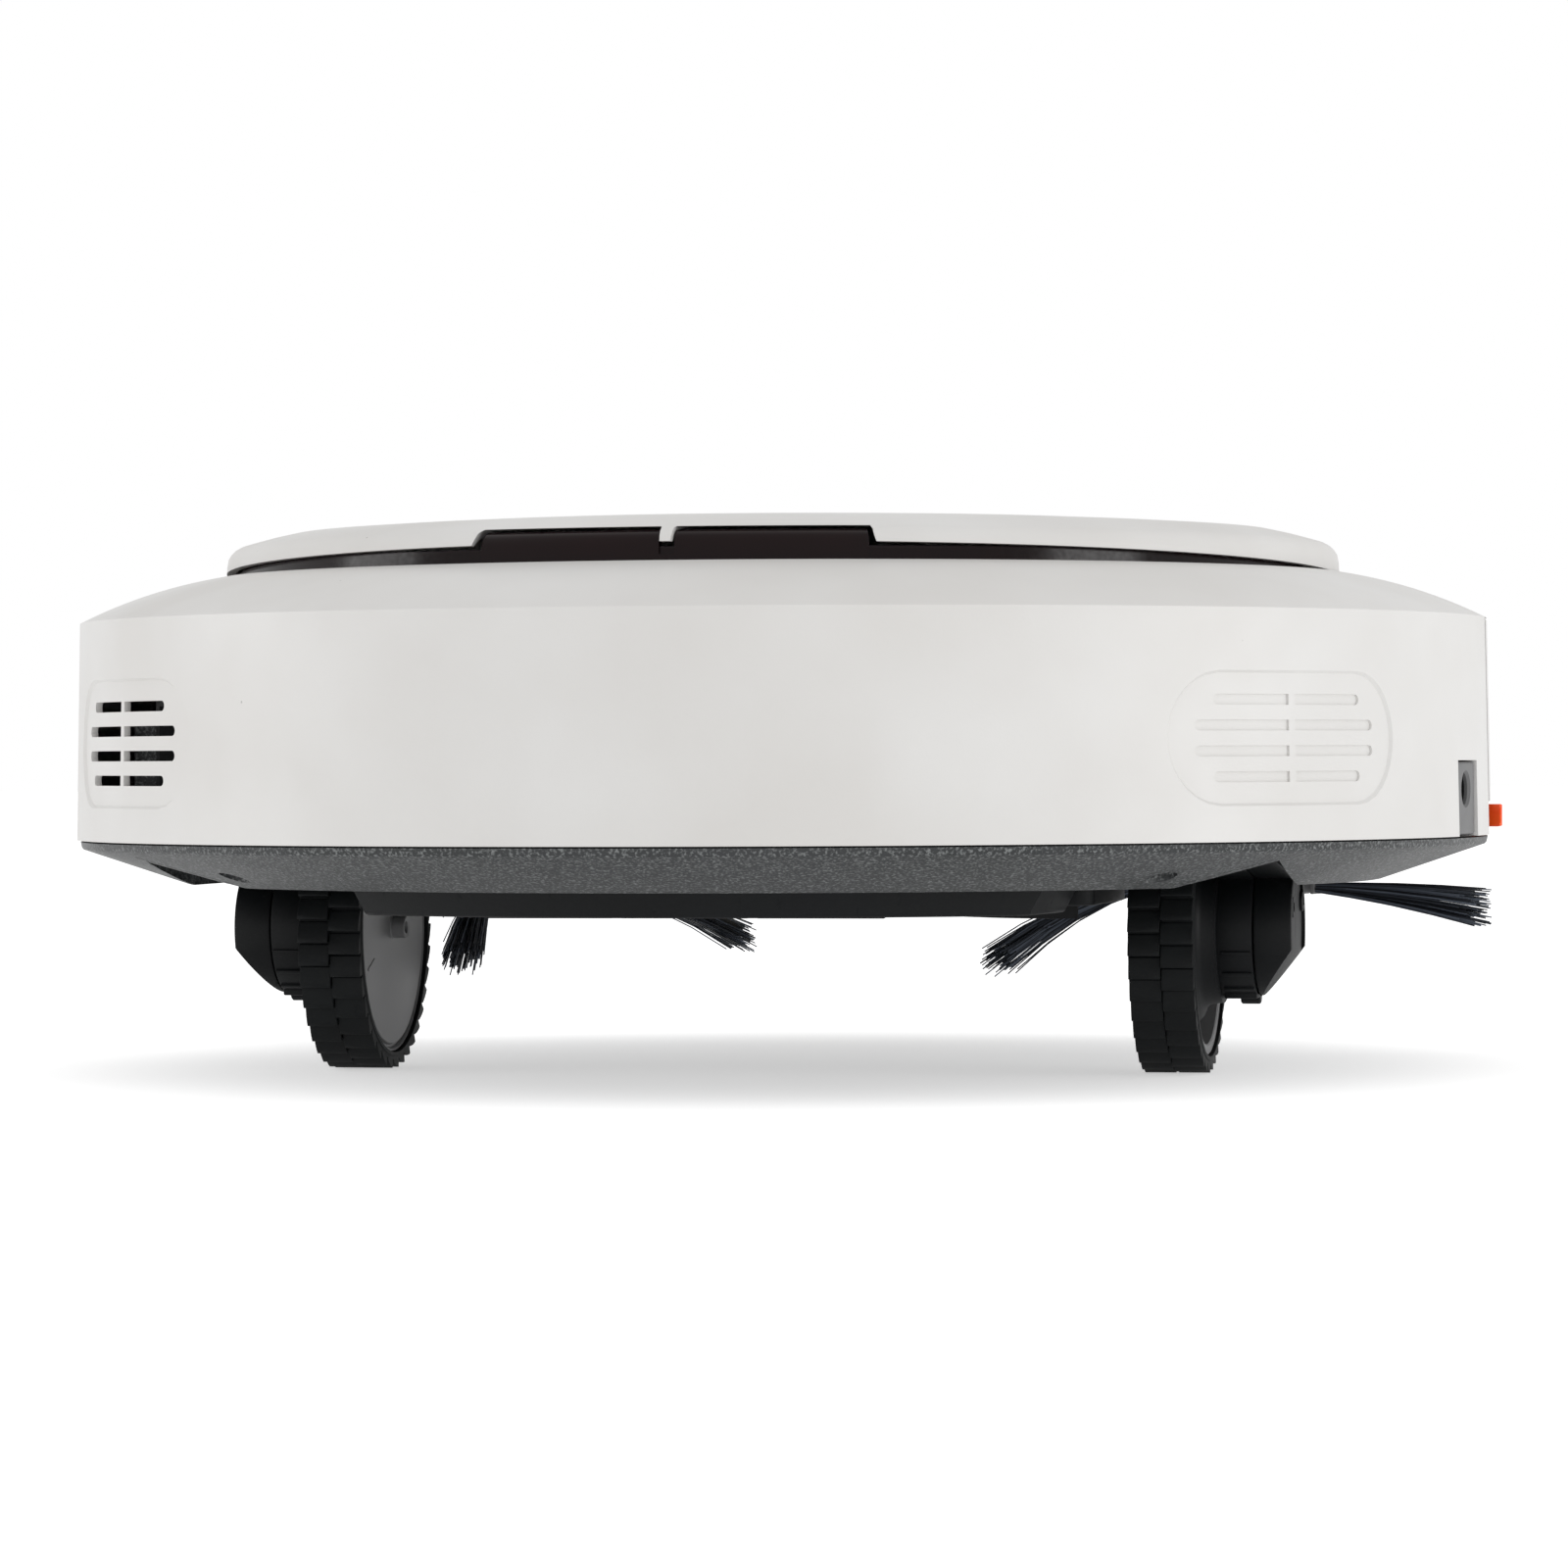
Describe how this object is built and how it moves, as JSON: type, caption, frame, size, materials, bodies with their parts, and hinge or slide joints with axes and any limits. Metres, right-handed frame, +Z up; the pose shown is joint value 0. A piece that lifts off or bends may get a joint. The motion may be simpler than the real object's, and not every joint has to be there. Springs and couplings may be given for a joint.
{
  "type": "robot vacuum",
  "caption": "Round robot vacuum with a domed rear-opening lid, sprung drive wheels, castor, main brush and side brushes.",
  "frame": {"origin": "centre of the overall box, on the floor under the fully dropped drive wheels", "axes": "+Z up, +Y the robot's front, +X the robot's right"},
  "size_m": [0.3315, 0.33, 0.1274],
  "materials": {
    "white_plastic": "satin moulded ABS",
    "black_textured_plastic": "spark-eroded grain",
    "dark_plastic": "smooth moulded",
    "smoked_plastic": "smoked translucent, polished",
    "grey_plastic": "moulded",
    "rubber": "moulded elastomer",
    "tyre_rubber": "moulded tread",
    "bristle": "nylon filaments",
    "orange_plastic": "moulded",
    "steel": "bright zinc plated",
    "circuit_board": "green solder mask",
    "battery_wrap": "shrink-wrapped cells",
    "filter_paper": "pleated paper",
    "contact_metal": "plated"
  },
  "bodies": {
    "chassis": {"top_cover": "white_plastic", "base_shell": "black_textured_plastic", "rear_under_plate": "dark_plastic", "brush_guard": "dark_plastic", "battery_door": "dark_plastic", "bin_cover": "dark_plastic", "fan_housing": "dark_plastic", "exhaust_duct": "dark_plastic", "dust_bin": "smoked_plastic", "floor_sensor_front": "smoked_plastic", "floor_sensor_left": "smoked_plastic", "floor_sensor_right": "smoked_plastic", "dc_socket": "grey_plastic", "side_brush_motor_left": "grey_plastic", "side_brush_motor_right": "grey_plastic", "brush_bearing_left": "grey_plastic", "brush_bearing_right": "grey_plastic", "lid_hinge_pin": "steel", "brush_motor": "steel", "bumper_spring_left": "steel", "bumper_spring_right": "steel", "case_screw_left": "steel", "case_screw_right": "steel", "pivot_pin_left": "steel", "pivot_pin_right": "steel", "suspension_spring_left": "steel", "suspension_spring_right": "steel", "main_board": "circuit_board", "battery_pack": "battery_wrap", "bin_filter": "filter_paper", "charge_contact_left": "contact_metal", "charge_contact_right": "contact_metal"},
    "bumper": {"front_bumper": "white_plastic", "ir_window": "smoked_plastic"},
    "lid": {"lid": "white_plastic", "smoked_skirt": "smoked_plastic"},
    "button": {"start_button": "grey_plastic"},
    "switch": {"power_switch": "orange_plastic"},
    "brush": {"main_brush": "rubber"},
    "castor": {"castor_fork": "dark_plastic", "castor_axle": "steel"},
    "castor_roller": {"castor_wheel": "rubber"},
    "arm_left": {"gearbox_case_left": "dark_plastic", "gearbox_cover_left": "dark_plastic", "drive_motor_left": "steel"},
    "wheel_left": {"wheel_hub_left": "grey_plastic", "tyre_left": "tyre_rubber", "wheel_axle_left": "steel"},
    "side_brush_left": {"side_brush_hub_left": "grey_plastic", "side_brush_bristles_left": "bristle"},
    "arm_right": {"gearbox_case_right": "dark_plastic", "gearbox_cover_right": "dark_plastic", "drive_motor_right": "steel"},
    "wheel_right": {"wheel_hub_right": "grey_plastic", "tyre_right": "tyre_rubber", "wheel_axle_right": "steel"},
    "side_brush_right": {"side_brush_hub_right": "grey_plastic", "side_brush_bristles_right": "bristle"}
  },
  "joints": [
    {"name": "lid_hinge", "type": "hinge", "parent": "chassis", "child": "lid", "pos_m": [0, 0.124, 0.1161], "axis": [-1, 0, 0], "range_deg": [0, 62]},
    {"name": "start_button_press", "type": "slide", "parent": "lid", "child": "button", "axis": [0, 0, -1], "range_m": [0, 0.0008], "stiffness_N_per_m": 1500, "springref_m": -0.0008},
    {"name": "bumper_push", "type": "slide", "parent": "chassis", "child": "bumper", "axis": [0, -1, 0], "range_m": [0, 0.002], "stiffness_N_per_m": 900, "springref_m": -0.002, "deforming": ["bumper_spring_left", "bumper_spring_right"]},
    {"name": "power_switch_rock", "type": "hinge", "parent": "chassis", "child": "switch", "pos_m": [0.1595, 0.0172, 0.05815], "axis": [0, 0, 1], "range_deg": [0, 12]},
    {"name": "main_brush_spin", "type": "hinge", "parent": "chassis", "child": "brush", "pos_m": [0, -0.037, 0.0549], "axis": [1, 0, 0], "continuous": true},
    {"name": "castor_swivel", "type": "hinge", "parent": "chassis", "child": "castor", "pos_m": [0, 0.12, 0.0539], "axis": [0, 0, 1], "continuous": true},
    {"name": "castor_roll", "type": "hinge", "parent": "castor", "child": "castor_roller", "pos_m": [0, 0.117, 0.0454], "axis": [1, 0, 0], "continuous": true},
    {"name": "suspension_left", "type": "hinge", "parent": "chassis", "child": "arm_left", "pos_m": [-0.117, -0.075, 0.0589], "axis": [1, 0, 0], "range_deg": [0, 34.9], "stiffness_Nm_per_rad": 0.6, "springref_deg": -24.06},
    {"name": "wheel_spin_left", "type": "hinge", "parent": "arm_left", "child": "wheel_left", "pos_m": [-0.096, -0.022, 0.033], "axis": [1, 0, 0], "continuous": true},
    {"name": "side_brush_spin_left", "type": "hinge", "parent": "chassis", "child": "side_brush_left", "pos_m": [-0.091, 0.089, 0.0436], "axis": [0, 0, 1], "continuous": true},
    {"name": "suspension_right", "type": "hinge", "parent": "chassis", "child": "arm_right", "pos_m": [0.117, -0.075, 0.0589], "axis": [1, 0, 0], "range_deg": [0, 34.9], "stiffness_Nm_per_rad": 0.6, "springref_deg": -24.06},
    {"name": "wheel_spin_right", "type": "hinge", "parent": "arm_right", "child": "wheel_right", "pos_m": [0.096, -0.022, 0.033], "axis": [1, 0, 0], "continuous": true},
    {"name": "side_brush_spin_right", "type": "hinge", "parent": "chassis", "child": "side_brush_right", "pos_m": [0.091, 0.089, 0.0436], "axis": [0, 0, 1], "continuous": true}
  ]
}
